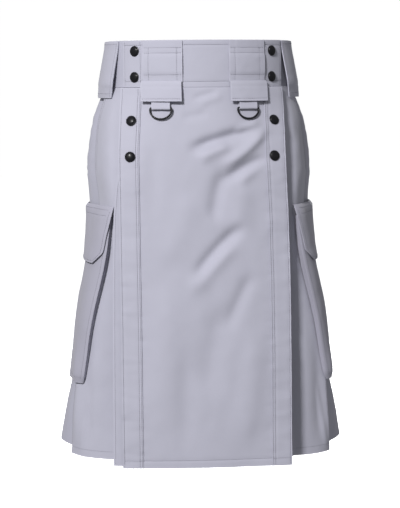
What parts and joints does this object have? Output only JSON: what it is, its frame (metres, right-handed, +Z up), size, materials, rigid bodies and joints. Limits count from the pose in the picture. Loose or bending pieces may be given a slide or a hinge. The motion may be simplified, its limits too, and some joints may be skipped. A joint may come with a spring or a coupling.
{
  "type": "utility kilt",
  "caption": "Worn-form utility kilt with a front apron held by snaps, bellows cargo pockets, wide belt loops, D-rings on tabs and a pleated back.",
  "frame": {"origin": "on the body's axis at half the height of the waistband, where the wearer's waist holds the kilt", "axes": "+Z up along the body, the apron faces -Y, +X to the viewer's right when facing the apron"},
  "size_m": [0.4297, 0.316, 0.615],
  "materials": {
    "cloth": "matte pale lilac-grey cotton twill",
    "snap_metal": "glossy black lacquered snap caps",
    "ring_metal": "satin black wire"
  },
  "bodies": {
    "kilt": {"waistband": "cloth", "apron_band": "cloth", "apron": "cloth", "under_apron": "cloth", "box_pleat": "cloth", "back_loop": "cloth", "placket_left": "cloth", "front_loop_left": "cloth", "ring_cover_left": "cloth", "ring_tab_left": "cloth", "front_pleat_left": "cloth", "side_panel_left": "cloth", "knife_pleats_left": "cloth", "pocket_left": "cloth", "pocket_flap_left": "cloth", "side_loop_left": "cloth", "placket_right": "cloth", "front_loop_right": "cloth", "ring_cover_right": "cloth", "ring_tab_right": "cloth", "front_pleat_right": "cloth", "side_panel_right": "cloth", "knife_pleats_right": "cloth", "pocket_right": "cloth", "pocket_flap_right": "cloth", "side_loop_right": "cloth", "snap_left_1": "snap_metal", "snap_left_2": "snap_metal", "snap_left_3": "snap_metal", "snap_left_4": "snap_metal", "snap_right_1": "snap_metal", "snap_right_2": "snap_metal", "snap_right_3": "snap_metal", "snap_right_4": "snap_metal"},
    "ring_left": {"d_ring_left": "ring_metal"},
    "ring_right": {"d_ring_right": "ring_metal"}
  },
  "joints": [
    {"name": "ring_left_swing", "type": "hinge", "parent": "kilt", "child": "ring_left", "pos_m": [-0.06203, -0.11212, -0.0635], "axis": [-0.9589, 0.2838, 0], "range_deg": [0, 110]},
    {"name": "ring_right_swing", "type": "hinge", "parent": "kilt", "child": "ring_right", "pos_m": [0.06409, -0.1115, -0.0635], "axis": [-0.9556, -0.2946, 0], "range_deg": [0, 110]}
  ]
}
